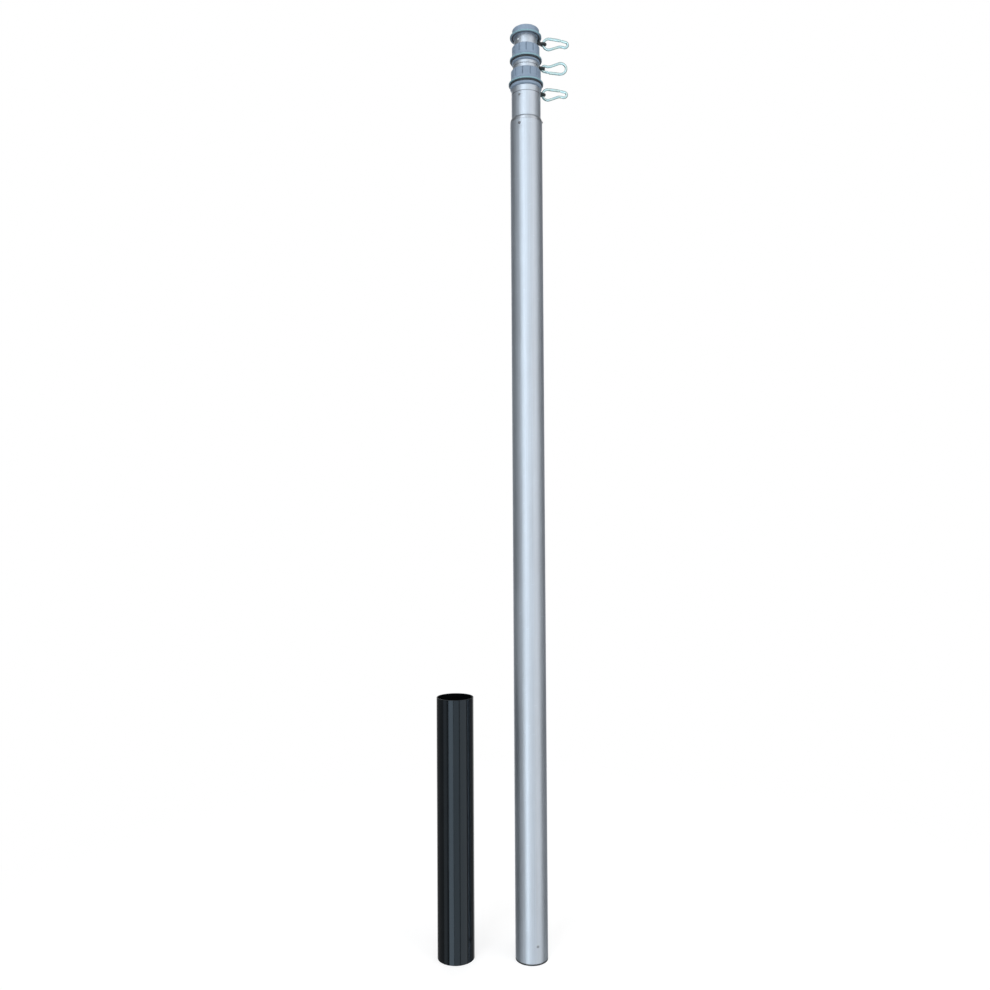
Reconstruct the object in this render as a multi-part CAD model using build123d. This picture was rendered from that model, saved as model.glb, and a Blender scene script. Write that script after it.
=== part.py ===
from build123d import *
from math import acos, asin, atan2, cos, degrees, hypot, radians, sin
import os

# Telescoping flagpole, pushed together as it is stored, with its ground sleeve standing beside it.
# Millimetres. +Z runs up the pole, the origin is the centre of its foot, and the viewer is at -Y.
# Places round the pole are degrees from the front (-Y), positive to the right (+X).

# Tubes
tube_4_diameter = 50.8
tube_wall = 1.5
nesting_gap = 1.675
main_length = 1803.0
tube_2_stands_out = 75.6
tube_3_stands_out = 56.0
tube_4_stands_out = 67.7
tube_end_chamfer = 0.4
crimp_depth = 0.5
crimp_radius = 1.6
tube_2_crimp_below_end = 13.1
tube_3_crimp_below_end = 7.2

# Clearances
fixed_gap = 0.1
sliding_gap = 0.3
rest_gap = 0.3
cut_past = 1.0

# Foot plug of the main tube
plug_base_height = 3.0
plug_spigot_height = 55.0
plug_wall = 3.0
plug_floor = 5.0

# Guides on the lower ends of the three inner tubes
guide_disc_height = 12.0
guide_spigot_height = 30.0
guide_wall = 2.5

# Bush in the mouth of the main tube
bush_spigot_length = 50.0
bush_rim_height = 9.0
bush_rim_inset = 0.2
bush_lip_height = 3.2
bush_mouth_edge = 0.5

# Collars on the ends of tubes 2 and 3, with their flag rings and lock nuts
collar_spigot_length = 45.0
collar_bevel = 1.6
collar_overhang = 2.8
lower_collar_lip = 5.1
upper_collar_lip = 2.3
collet_slot_count = 6
collet_slot_width = 1.6
lower_collet_wall = 1.6
upper_collet_wall = 2.3
flag_ring_height = 3.0
flag_ring_round = 0.7
lower_ring_width = 5.2
middle_ring_width = 4.9
nut_height = 29.6
nut_wall = 2.0
nut_top_lip = 3.0
nut_groove_count = 12
nut_groove_radius = 1.4
nut_groove_depth = 1.1
nut_flare_height = 12.5
nut_flange_lip = 2.8
nut_top_chamfer = 1.0
lower_nut_flare = 5.2
upper_nut_flare = 4.9
lower_nut_turn = 15.0
upper_nut_turn = 0.0

# Cap on tube 4
cap_rim_overhang = 9.2
cap_top_overhang = 4.4
cap_height = 18.9
cap_rim_height = 2.8
cap_flare_height = 8.5
cap_edge_round = 3.5
cap_dome = 0.9
cap_thickness = 3.6
cap_skirt_wall = 3.7
cap_spigot_length = 38.0
cap_spigot_wall = 2.5
cap_neck_wall = 1.3
cap_lip_height = 0.9
cap_lip_reach = 0.9
tube_in_cap = 8.4

# Rivets and screws
rivet_head_radius = 3.0
rivet_head_height = 2.2
rivet_shank_radius = 2.0
small_rivet_head_radius = 2.6
small_rivet_head_height = 1.2
main_rivet_count = 2
main_rivet_first = -27.0
main_rivet_below_end = 9.6
tube_2_rivet_count = 2
tube_2_rivet_first = -29.0
tube_2_rivet_below_end = 21.7
foot_rivet_count = 2
foot_rivet_first = 20.0
foot_rivet_height = 39.0
foot_rivet_sink = 0.15
cap_screw_count = 2
cap_screw_first = -46.0
cap_screw_below_rim = 10.0
mouth_screw_first = 88.0
mouth_screw_above_end = 3.6
mouth_screw_sink = 0.7
mouth_screw_head_radius = 2.5
mouth_screw_head_height = 2.4

# Lugs of the flag rings: an eye of round section on a short arm
eye_bar_radius = 2.3
eye_clearance = 0.4
arm_width = 11.0
lower_eye_gap = 8.7
middle_eye_gap = 2.45
upper_eye_gap = 0.1
lower_eye_angle = 45.4
middle_eye_angle = 37.1
upper_eye_angle = 22.2
upper_arm_drop = 2.7

# Snap hooks, bent from round wire, the same three times
wire_radius = 2.75
hook_length = 60.0
wide_end_radius = 15.0
narrow_end_radius = 9.0
waist_radius = 20.0
waist_start = -110.0
nose_angle = 88.0
blade_length = 3.4
blade_side_gap = 0.4
blade_height = 4.0
hinge_before_narrow = 11.5
hinge_rise = 9.3
tongue_thickness = 2.4
tongue_length = 4.2
gate_radius = 3.0
gate_side_gap = 0.3
gate_slot_spare = 1.85
gate_tip_gap = 0.5
gate_pin_radius = 1.2
gate_pin_head_radius = 1.9
gate_pin_head_height = 0.5
pin_gap = 0.1
lower_hook_droop = 0.5
upper_hook_droop = 2.5

# Ground sleeve
sleeve_play = 2.6
sleeve_wall = 2.5
sleeve_height = 556.0
sleeve_stands_off = 87.5
sleeve_behind = 7.0
sleeve_end_round = 0.8

# Worked out from the sizes above
nesting_step = tube_wall + nesting_gap
tube_4_radius = tube_4_diameter / 2
tube_3_radius = tube_4_radius + nesting_step
tube_2_radius = tube_3_radius + nesting_step
main_radius = tube_2_radius + nesting_step
main_top = plug_base_height + main_length
tube_2_top = main_top + tube_2_stands_out
tube_3_top = tube_2_top + tube_3_stands_out
tube_4_top = tube_3_top + tube_4_stands_out
plug_top = plug_base_height + plug_spigot_height
guide_2_low = plug_top + rest_gap
guide_3_low = guide_2_low + guide_disc_height + guide_spigot_height + rest_gap
guide_4_low = guide_3_low + guide_disc_height + guide_spigot_height + rest_gap
lower_seat = tube_2_top + collar_bevel + lower_collar_lip
upper_seat = tube_3_top + collar_bevel + upper_collar_lip
lower_ring_low = lower_seat + rest_gap
middle_ring_low = upper_seat + rest_gap
lower_nut_low = lower_ring_low + flag_ring_height + rest_gap
upper_nut_low = middle_ring_low + flag_ring_height + rest_gap
lower_nut_radius = tube_3_radius + 2 * sliding_gap + lower_collet_wall + nut_wall
upper_nut_radius = tube_4_radius + 2 * sliding_gap + upper_collet_wall + nut_wall
lower_nut_flange_radius = lower_nut_radius + lower_nut_flare
upper_nut_flange_radius = upper_nut_radius + upper_nut_flare
cap_rim_low = tube_4_top - tube_in_cap
cap_rim_radius = tube_4_radius + cap_rim_overhang
cap_top_radius = tube_4_radius + cap_top_overhang
cap_neck_radius = tube_4_radius + fixed_gap + cap_neck_wall
cap_lip_radius = cap_neck_radius + cap_lip_reach
cap_lip_top = cap_rim_low + cap_lip_height
cap_recess_radius = cap_rim_radius - cap_skirt_wall
upper_ring_low = cap_rim_low + rest_gap
upper_ring_radius = cap_recess_radius - sliding_gap
cap_recess_top = upper_ring_low + flag_ring_height + rest_gap
lower_eye_height = lower_ring_low + flag_ring_height / 2
middle_eye_height = middle_ring_low + flag_ring_height / 2
upper_eye_height = cap_rim_low - rest_gap - upper_arm_drop - flag_ring_height / 2
bush_rim_radius = main_radius - bush_rim_inset
mouth_screw_height = main_top + mouth_screw_above_end
eye_radius = wire_radius + eye_clearance + eye_bar_radius
wide_radius = wide_end_radius - wire_radius
narrow_radius = narrow_end_radius - wire_radius
narrow_centre = hook_length - wide_end_radius - narrow_end_radius
hinge_from_wide = narrow_centre - hinge_before_narrow
gate_slot_width = tongue_thickness + 2 * gate_side_gap
gate_slot_depth = wire_radius + gate_slot_spare
blade_thickness = gate_slot_width - 2 * blade_side_gap
gate_cut = 2 * (gate_radius + cut_past)
sleeve_radius = main_radius + sleeve_play + sleeve_wall
sleeve_place = (-(main_radius + sleeve_stands_off + sleeve_radius), sleeve_behind)


def polar(centre, radius, angle):
    """Point at an angle in degrees round a centre."""
    return (centre[0] + radius * cos(radians(angle)), centre[1] + radius * sin(radians(angle)))


def eye_place(neighbour_radius, gap, angle):
    """Centre of an eye that stands clear of the wider flange beside its ring."""
    return polar((0, 0), neighbour_radius + gap + eye_radius + eye_bar_radius, angle)


def turned(*edges):
    """Solid of revolution about the pole from a closed outline of (radius, height)."""
    return revolve(Plane.XZ * make_face(Curve() + list(edges)), Axis.Z)


def outline(*points):
    """Closed outline of straight runs."""
    return Polyline(*points, close=True)


def barrel(outer, inner, low, high):
    """Plain hollow cylinder about the pole."""
    return turned(outline((inner, low), (outer, low), (outer, high), (inner, high)))


def around(solid, count, first):
    """Copies of a solid that lies along +X, spread evenly round the pole from the first place."""
    return [Rot(0, 0, first - 90 + 360 * i / count) * solid for i in range(count)]


def rod(radius, low, high):
    """Round rod along +X between two distances from the pole's axis."""
    return extrude(Plane.YZ.offset(low) * Circle(radius), high - low)


def drilled(solid, radius, low, high, height, count, first):
    """The solid with round holes through its wall."""
    return solid - around(Pos(0, 0, height) * rod(radius, low, high), count, first)


def domed_rivets(wall_radius, tip, head_radius, head_height, height, count, first):
    """Rivets with domed heads on a tube's outside and shanks that go in through its wall."""
    ball = (head_radius ** 2 + head_height ** 2) / (2 * head_height)
    centre = wall_radius + head_height - ball
    half_way = degrees(asin(head_radius / ball)) / 2
    section = make_face(Curve() + [
        Polyline((centre + ball, 0), (tip, 0), (tip, rivet_shank_radius), (wall_radius, rivet_shank_radius),
                 (wall_radius, head_radius)),
        ThreePointArc((wall_radius, head_radius), polar((centre, 0), ball, half_way), (centre + ball, 0)),
    ])
    return Compound(around(Pos(0, 0, height) * revolve(section, Axis.X), count, first))


def pole_tube(outer, low, high):
    """Drawn tube with its outer edges broken."""
    edge = tube_end_chamfer
    return turned(outline(
        (outer - tube_wall, low), (outer - edge, low), (outer, low + edge),
        (outer, high - edge), (outer - edge, high), (outer - tube_wall, high)))


def crimped(tube, radius, height):
    """The tube with a rolled groove round its outside."""
    return tube - Pos(0, 0, height) * Torus(radius + crimp_radius - crimp_depth, crimp_radius)


def main_tube():
    tube = pole_tube(main_radius, plug_base_height, main_top)
    hole = rivet_shank_radius + fixed_gap
    inside = main_radius - 2 * tube_wall
    outside = main_radius + tube_wall
    tube = drilled(tube, hole, inside, outside, main_top - main_rivet_below_end, main_rivet_count, main_rivet_first)
    foot_hole = rivet_head_radius + fixed_gap
    return drilled(tube, foot_hole, inside, outside, foot_rivet_height, foot_rivet_count, foot_rivet_first)


def foot_plug():
    spigot = main_radius - tube_wall - fixed_gap
    hollow = spigot - plug_wall
    plug = turned(outline(
        (0, 0), (main_radius, 0), (main_radius, plug_base_height), (spigot, plug_base_height),
        (spigot, plug_top), (hollow, plug_top), (hollow, plug_floor), (0, plug_floor)))
    return drilled(plug, rivet_shank_radius + fixed_gap, hollow - cut_past, spigot + cut_past, foot_rivet_height,
                   foot_rivet_count, foot_rivet_first)


def foot_rivets():
    """Countersunk rivets, flush so that the butt slides into its sleeve."""
    head_low = main_radius - tube_wall
    tip = head_low - fixed_gap - plug_wall
    one = rod(rivet_shank_radius, tip, head_low) + rod(rivet_head_radius, head_low, main_radius - foot_rivet_sink)
    return Compound(around(Pos(0, 0, foot_rivet_height) * one, foot_rivet_count, foot_rivet_first))


def main_guide_bush():
    """Bush with a short upright lip above the tube, rounded in to its mouth."""
    bore = tube_2_radius + sliding_gap
    spigot = main_radius - tube_wall - fixed_gap
    low = main_top - bush_spigot_length
    lip_top = main_top + bush_lip_height
    high = main_top + bush_rim_height
    mouth = bore + bush_mouth_edge
    bush = turned(
        Polyline((mouth, high), (bore, high), (bore, low), (spigot, low), (spigot, main_top),
                 (bush_rim_radius, main_top), (bush_rim_radius, lip_top)),
        TangentArc((bush_rim_radius, lip_top), (mouth, high), tangent=(0, 1)))
    hole = rivet_shank_radius + fixed_gap
    inside = bore - cut_past
    outside = bush_rim_radius + cut_past
    bush = drilled(bush, hole, inside, outside, main_top - main_rivet_below_end, main_rivet_count, main_rivet_first)
    bush = drilled(bush, hole, inside, outside, mouth_screw_height, 1, mouth_screw_first)
    return drilled(bush, mouth_screw_head_radius + fixed_gap, bush_rim_radius - mouth_screw_sink, outside,
                   mouth_screw_height, 1, mouth_screw_first)


def main_bush_screw():
    """Round-headed screw let a little into the bush, beside its mouth."""
    return domed_rivets(bush_rim_radius - mouth_screw_sink, tube_2_radius + 2 * sliding_gap,
                        mouth_screw_head_radius, mouth_screw_head_height, mouth_screw_height, 1, mouth_screw_first)


def main_bush_rivets():
    tip = tube_2_radius + 2 * sliding_gap
    return domed_rivets(main_radius, tip, rivet_head_radius, rivet_head_height,
                        main_top - main_rivet_below_end, main_rivet_count, main_rivet_first)


def inner_guide(outer_radius, radius, low):
    """Cup on the lower end of an inner tube, which slides in the next tube out."""
    disc = outer_radius - tube_wall - sliding_gap
    spigot = radius - tube_wall - fixed_gap
    hollow = spigot - guide_wall
    shoulder = low + guide_disc_height
    top = shoulder + guide_spigot_height
    return turned(outline(
        (0, low), (disc - guide_wall, low), (disc, low + guide_wall), (disc, shoulder), (spigot, shoulder),
        (spigot, top), (hollow, top), (hollow, shoulder), (0, shoulder)))


def tube_2():
    tube = pole_tube(tube_2_radius, guide_2_low + guide_disc_height, tube_2_top)
    tube = crimped(tube, tube_2_radius, tube_2_top - tube_2_crimp_below_end)
    return drilled(tube, rivet_shank_radius + fixed_gap, tube_2_radius - 2 * tube_wall, tube_2_radius + tube_wall,
                   tube_2_top - tube_2_rivet_below_end, tube_2_rivet_count, tube_2_rivet_first)


def tube_3():
    tube = pole_tube(tube_3_radius, guide_3_low + guide_disc_height, tube_3_top)
    return crimped(tube, tube_3_radius, tube_3_top - tube_3_crimp_below_end)


def tube_4():
    tube = pole_tube(tube_4_radius, guide_4_low + guide_disc_height, tube_4_top)
    return drilled(tube, rivet_shank_radius + fixed_gap, tube_4_radius - 2 * tube_wall, tube_4_radius + tube_wall,
                   cap_rim_low - cap_screw_below_rim, cap_screw_count, cap_screw_first)


def collar(tube_radius, tube_top, seat, inner_radius, nut_radius, nut_low):
    """Collar in a tube's end: spigot, bevelled flange under the flag ring, and slit collet inside the nut."""
    bore = inner_radius + sliding_gap
    spigot = tube_radius - tube_wall - fixed_gap
    flange = tube_radius + collar_overhang
    neck = nut_radius - nut_wall - sliding_gap
    low = tube_top - collar_spigot_length
    top = nut_low + nut_height - nut_top_lip - rest_gap
    body = turned(outline(
        (bore, low), (spigot, low), (spigot, tube_top), (tube_radius, tube_top), (flange, tube_top + collar_bevel),
        (flange, seat), (neck, seat), (neck, top), (bore, top)))
    slit = Pos(neck, 0, nut_low) * extrude(Rectangle(neck, collet_slot_width), nut_height)
    return body - around(slit, collet_slot_count, 0)


def tube_2_collar():
    body = collar(tube_2_radius, tube_2_top, lower_seat, tube_3_radius, lower_nut_radius, lower_nut_low)
    return drilled(body, rivet_shank_radius + fixed_gap, tube_3_radius - cut_past, tube_2_radius,
                   tube_2_top - tube_2_rivet_below_end, tube_2_rivet_count, tube_2_rivet_first)


def tube_2_collar_rivets():
    return domed_rivets(tube_2_radius, tube_3_radius + 2 * sliding_gap, small_rivet_head_radius,
                        small_rivet_head_height, tube_2_top - tube_2_rivet_below_end,
                        tube_2_rivet_count, tube_2_rivet_first)


def tube_3_collar():
    return collar(tube_3_radius, tube_3_top, upper_seat, tube_4_radius, upper_nut_radius, upper_nut_low)


def lock_nut(low, radius, flange, inner_radius, first_groove):
    """Twist nut with grip grooves that die out into its flared flange."""
    bore = radius - nut_wall
    mouth = inner_radius + sliding_gap
    top = low + nut_height
    flare_top = low + nut_flare_height
    nut = turned(
        Polyline((flange, low + nut_flange_lip), (flange, low), (bore, low), (bore, top - nut_top_lip),
                 (mouth, top - nut_top_lip), (mouth, top), (radius - nut_top_chamfer, top),
                 (radius, top - nut_top_chamfer), (radius, flare_top)),
        TangentArc((radius, flare_top), (flange, low + nut_flange_lip), tangent=(0, -1)))
    reach = radius + nut_groove_radius - nut_groove_depth
    groove = Pos(reach, 0, flare_top) * (
        extrude(Circle(nut_groove_radius), nut_height) + Sphere(nut_groove_radius))
    return nut - around(groove, nut_groove_count, first_groove)


def lower_lock_nut():
    return lock_nut(lower_nut_low, lower_nut_radius, lower_nut_flange_radius, tube_3_radius, lower_nut_turn)


def upper_lock_nut():
    return lock_nut(upper_nut_low, upper_nut_radius, upper_nut_flange_radius, tube_4_radius, upper_nut_turn)


def ring_band(bore, width, low):
    """Flat ring with its outer edges rounded."""
    band = barrel(bore + width, bore, low, low + flag_ring_height)
    rim = band.edges().filter_by(GeomType.CIRCLE).sort_by(SortBy.RADIUS)[-2:]
    return fillet(rim, flag_ring_round)


def eye_arm(start, eye_at, height):
    """Arm from a distance out of the pole's axis to an eye for the snap hook."""
    reach = hypot(*eye_at)
    end = reach - eye_radius
    arm = Pos((start + end) / 2, 0, height) * Box(end - start, arm_width, flag_ring_height)
    eye = Pos(reach, 0, height) * Torus(eye_radius, eye_bar_radius)
    return Rot(0, 0, degrees(atan2(eye_at[1], eye_at[0]))) * (arm + eye)


def lower_eye():
    return eye_place(lower_nut_flange_radius, lower_eye_gap, lower_eye_angle)


def middle_eye():
    return eye_place(upper_nut_flange_radius, middle_eye_gap, middle_eye_angle)


def upper_eye():
    return eye_place(cap_rim_radius, upper_eye_gap, upper_eye_angle)


def lower_flag_ring():
    bore = lower_nut_radius - nut_wall
    start = bore + lower_ring_width / 2
    return ring_band(bore, lower_ring_width, lower_ring_low) + eye_arm(start, lower_eye(), lower_eye_height)


def middle_flag_ring():
    bore = upper_nut_radius - nut_wall
    start = bore + middle_ring_width / 2
    return ring_band(bore, middle_ring_width, middle_ring_low) + eye_arm(start, middle_eye(), middle_eye_height)


def upper_flag_ring():
    """Ring let into the cap's underside, stepped over the snap lip, with its arm dropped below the rim."""
    bore = cap_neck_radius + sliding_gap
    step = cap_lip_radius + sliding_gap
    step_top = cap_lip_top + rest_gap
    high = upper_ring_low + flag_ring_height
    band = turned(outline(
        (step, upper_ring_low), (upper_ring_radius, upper_ring_low), (upper_ring_radius, high), (bore, high),
        (bore, step_top), (step, step_top)))
    start = step + sliding_gap
    drop = upper_ring_low - upper_eye_height
    leg = barrel(upper_ring_radius, start, upper_eye_height, upper_ring_low)
    across = Pos(upper_ring_radius, 0, upper_eye_height) * Box(upper_ring_radius, arm_width, 3 * drop)
    leg = leg & (Rot(0, 0, upper_eye_angle) * across)
    return band + leg + eye_arm(start, upper_eye(), upper_eye_height)


def top_cap():
    """Domed cap: flared skirt round the flag ring, neck with a snap lip, and spigot down inside tube 4."""
    socket = tube_4_radius + fixed_gap
    spigot = tube_4_radius - tube_wall - fixed_gap
    hollow = spigot - cap_spigot_wall
    top = cap_rim_low + cap_height
    shoulder = top - cap_dome - cap_edge_round
    seat = tube_4_top + fixed_gap
    flat = cap_top_radius - cap_edge_round
    flare_top = cap_rim_low + cap_flare_height
    rim_top = cap_rim_low + cap_rim_height
    ceiling = top - cap_dome - cap_thickness
    spigot_low = cap_rim_low - cap_spigot_length
    cap = turned(
        TangentArc((0, top), (flat, top - cap_dome), tangent=(1, 0)),
        RadiusArc((flat, top - cap_dome), (cap_top_radius, shoulder), cap_edge_round),
        Line((cap_top_radius, shoulder), (cap_top_radius, flare_top)),
        TangentArc((cap_top_radius, flare_top), (cap_rim_radius, rim_top), tangent=(0, -1)),
        Polyline((cap_rim_radius, rim_top), (cap_rim_radius, cap_rim_low), (cap_recess_radius, cap_rim_low),
                 (cap_recess_radius, cap_recess_top), (cap_neck_radius, cap_recess_top),
                 (cap_neck_radius, cap_lip_top), (cap_lip_radius, cap_lip_top), (cap_lip_radius, cap_rim_low),
                 (socket, cap_rim_low), (socket, seat), (spigot, seat), (spigot, spigot_low),
                 (hollow, spigot_low), (hollow, ceiling), (0, ceiling), (0, top)))
    return drilled(cap, rivet_shank_radius + fixed_gap, hollow - cut_past, spigot + cut_past,
                   cap_rim_low - cap_screw_below_rim, cap_screw_count, cap_screw_first)


def top_cap_screws():
    tip = tube_4_radius - tube_wall - cap_spigot_wall
    return domed_rivets(tube_4_radius, tip, small_rivet_head_radius, small_rivet_head_height,
                        cap_rim_low - cap_screw_below_rim, cap_screw_count, cap_screw_first)


def ground_sleeve():
    sleeve = barrel(sleeve_radius, sleeve_radius - sleeve_wall, 0, sleeve_height)
    sleeve = fillet(sleeve.edges().filter_by(GeomType.CIRCLE).group_by(Axis.Z)[-1], sleeve_end_round)
    return Pos(*sleeve_place) * sleeve


def hook_path():
    """Centre line of the bent wire: nose, wide end, waisted spine, narrow end and hinge end."""
    wide = (0, 0)
    narrow = (narrow_centre, 0)
    waist = polar(narrow, narrow_radius + waist_radius, waist_start)
    between = hypot(*waist)
    lean = degrees(atan2(waist[1], waist[0])) - degrees(acos((wide_radius + waist_radius) / between))
    hinge = (hinge_from_wide, hinge_rise)
    away = (hinge[0] - narrow[0], hinge[1] - narrow[1])
    leave = degrees(atan2(away[1], away[0])) - degrees(acos(narrow_radius / hypot(*away)))
    end = polar(narrow, narrow_radius, leave)
    stop = polar(hinge, tongue_length, degrees(atan2(end[1] - hinge[1], end[0] - hinge[0])))
    return Curve() + [
        CenterArc(wide, wide_radius, nose_angle, 360 + lean - nose_angle),
        Line(polar(wide, wide_radius, lean), polar(waist, waist_radius, lean + 180)),
        CenterArc(waist, waist_radius, lean + 180, waist_start - lean),
        CenterArc(narrow, narrow_radius, waist_start, leave - waist_start),
        Line(end, stop),
    ], stop


def gate_line():
    """Hinge point, slope and length of the closed gate."""
    nose = polar((0, 0), wide_radius, nose_angle)
    run = (nose[0] - hinge_from_wide, nose[1] - hinge_rise)
    return degrees(atan2(run[1], run[0])), hypot(*run)


def hook_frame_shape():
    """Hook frame in the XZ plane, wide end at the origin and narrow end towards +X."""
    path, stop = hook_path()
    wire = Wire((Plane.XZ * path).edges())
    frame = sweep(Plane(origin=wire @ 0, z_dir=wire % 0) * Circle(wire_radius), path=wire)
    slope = degrees(atan2(stop[1] - hinge_rise, stop[0] - hinge_from_wide))
    tongue = Pos(hinge_from_wide, 0, hinge_rise) * Rot(0, -slope, 0) * (
        Rot(90, 0, 0) * Cylinder(wire_radius, tongue_thickness)
        + Pos((tongue_length + wire_radius) / 2, 0, 0)
        * Box(tongue_length + wire_radius, tongue_thickness, 2 * wire_radius - tongue_thickness / 2))
    turn, reach = gate_line()
    blade = Pos(hinge_from_wide, 0, hinge_rise) * Rot(0, -turn, 0) * (
        Pos(reach + (wire_radius - blade_length) / 2, 0, 0)
        * Box(blade_length + wire_radius, blade_thickness, blade_height))
    hole = Pos(hinge_from_wide, 0, hinge_rise) * Rot(90, 0, 0) * Cylinder(
        gate_pin_radius + fixed_gap / 2, wire_radius)
    return frame + tongue + blade - hole


def gate_shape():
    """Round gate with a slot over the tongue at its hinge and one over the nose blade at its tip."""
    turn, reach = gate_line()
    tip = reach - gate_tip_gap
    bar = Rot(0, 90, 0) * Cylinder(gate_radius, tip, align=(Align.CENTER, Align.CENTER, Align.MIN))
    bar = bar + Sphere(gate_radius)
    slot = Box(gate_slot_depth + gate_cut, gate_slot_width, gate_cut)
    hinge_slot = Pos((gate_slot_depth - gate_cut) / 2, 0, 0) * slot
    tip_slot = Pos(tip - (gate_slot_depth - gate_cut) / 2, 0, 0) * slot
    hole = Rot(90, 0, 0) * Cylinder(gate_pin_radius + pin_gap, gate_cut)
    bar = bar - hinge_slot - tip_slot - hole
    return Pos(hinge_from_wide, 0, hinge_rise) * Rot(0, -turn, 0) * bar


def gate_pin_shape():
    """Pin through the tongue, with a low head outside each cheek of the gate."""
    seat = gate_radius + pin_gap
    shank = Rot(90, 0, 0) * Cylinder(gate_pin_radius, 2 * seat)
    heads = [Pos(0, side * (seat + gate_pin_head_height / 2), 0) * Rot(90, 0, 0)
             * Cylinder(gate_pin_head_radius, gate_pin_head_height) for side in (-1, 1)]
    return Pos(hinge_from_wide, 0, hinge_rise) * (shank + heads)


def hung_by_wide_end(shape, eye_at, height, droop):
    """The shape with the hook's wide end through an eye and its narrow end pointing to +X."""
    return Pos(eye_at[0] + wide_radius, eye_at[1], height) * Rot(0, droop, 0) * shape


def hung_by_narrow_end(shape, eye_at, height):
    """The shape with the hook's narrow end through an eye and its wide end pointing to +X."""
    return Pos(eye_at[0] + narrow_radius, eye_at[1], height) * Rot(0, 180, 0) * Pos(-narrow_centre, 0, 0) * shape


def snap_hooks():
    """Frame, gate and pin of each hook, by node name."""
    shapes = {"frame": hook_frame_shape(), "gate": gate_shape(), "gate_pin": gate_pin_shape()}
    hooks = {}
    for piece, shape in shapes.items():
        hooks["upper_hook_" + piece] = hung_by_wide_end(shape, upper_eye(), upper_eye_height, upper_hook_droop)
        hooks["middle_hook_" + piece] = hung_by_narrow_end(shape, middle_eye(), middle_eye_height)
        hooks["lower_hook_" + piece] = hung_by_wide_end(shape, lower_eye(), lower_eye_height, lower_hook_droop)
    return hooks


nodes = {
    "main_tube": main_tube(),
    "foot_plug": foot_plug(),
    "foot_rivets": foot_rivets(),
    "main_guide_bush": main_guide_bush(),
    "main_bush_rivets": main_bush_rivets(),
    "main_bush_screw": main_bush_screw(),
    "ground_sleeve": ground_sleeve(),
    "tube_2": tube_2(),
    "tube_2_foot_guide": inner_guide(main_radius, tube_2_radius, guide_2_low),
    "tube_2_collar": tube_2_collar(),
    "tube_2_collar_rivets": tube_2_collar_rivets(),
    "tube_3": tube_3(),
    "tube_3_foot_guide": inner_guide(tube_2_radius, tube_3_radius, guide_3_low),
    "tube_3_collar": tube_3_collar(),
    "tube_4": tube_4(),
    "tube_4_foot_guide": inner_guide(tube_3_radius, tube_4_radius, guide_4_low),
    "top_cap": top_cap(),
    "top_cap_screws": top_cap_screws(),
    "lower_lock_nut": lower_lock_nut(),
    "upper_lock_nut": upper_lock_nut(),
    "lower_flag_ring": lower_flag_ring(),
    "middle_flag_ring": middle_flag_ring(),
    "upper_flag_ring": upper_flag_ring(),
    **snap_hooks(),
}

os.makedirs("parts", exist_ok=True)
for name, solid in nodes.items():
    export_step(solid, "parts/" + name + ".step")
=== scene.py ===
"""Looks of a telescoping flagpole and its ground sleeve, laid out as an add-on and run as a script."""

import math

import bmesh
import bpy
from mathutils import Matrix, Vector


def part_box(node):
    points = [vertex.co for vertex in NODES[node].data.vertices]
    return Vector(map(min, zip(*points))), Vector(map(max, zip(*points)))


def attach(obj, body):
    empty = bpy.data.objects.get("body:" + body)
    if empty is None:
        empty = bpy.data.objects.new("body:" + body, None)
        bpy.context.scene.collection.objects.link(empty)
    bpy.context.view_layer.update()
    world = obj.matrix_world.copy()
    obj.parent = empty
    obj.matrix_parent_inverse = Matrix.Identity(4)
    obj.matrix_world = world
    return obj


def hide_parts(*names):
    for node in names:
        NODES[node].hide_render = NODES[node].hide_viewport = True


bl_info = {
    "name": "Telescoping Flagpole",
    "version": (1, 0, 0),
    "blender": (4, 5, 0),
    "location": "3D View > Sidebar > Flagpole",
    "description": "Finishes the tubes, nuts, rings, snap hooks and ground sleeve of a flagpole",
    "category": "Object",
}

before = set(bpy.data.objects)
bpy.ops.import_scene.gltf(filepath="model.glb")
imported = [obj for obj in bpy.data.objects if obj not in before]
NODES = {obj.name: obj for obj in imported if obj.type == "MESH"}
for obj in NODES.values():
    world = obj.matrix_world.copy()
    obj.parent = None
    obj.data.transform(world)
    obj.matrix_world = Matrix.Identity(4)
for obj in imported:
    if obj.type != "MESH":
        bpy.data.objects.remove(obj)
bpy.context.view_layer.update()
MM = 0.001

# Nodes of the frame, from the ground up. Each hook is three nodes that begin with its name.
TUBES = ("main_tube", "tube_2", "tube_3", "tube_4")
FOOT_GUIDES = ("tube_2_foot_guide", "tube_3_foot_guide", "tube_4_foot_guide")
COLLARS = ("tube_2_collar", "tube_3_collar")
LOCK_NUTS = ("lower_lock_nut", "upper_lock_nut")
FLAG_RINGS = ("lower_flag_ring", "middle_flag_ring", "upper_flag_ring")
HOOKS = ("lower_hook", "middle_hook", "upper_hook")
HOOK_PARTS = ("_frame", "_gate", "_gate_pin")
RIVETS_OF_TUBE = {"main_tube": "main_bush_rivets", "tube_2": "tube_2_collar_rivets"}

# Share of a nut's height above which only its grip is left, and not its flare
GRIP_STARTS = 0.6
MARKS_BELOW_RIVET = 4 * MM
MARKS_REACH = 13 * MM
# Edges sharper than this stay sharp in shading
SHARP_ANGLE = math.radians(35)
# Turn of the crosses and rivets about their own axes
HEAD_TURN = math.radians(20)
# How far a head reaches into the wall, as a share of its radius
HEAD_SINK = 0.15
# Upright edge of a pan screw's head, as a share of its height
SCREW_EDGE = 0.12

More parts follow.
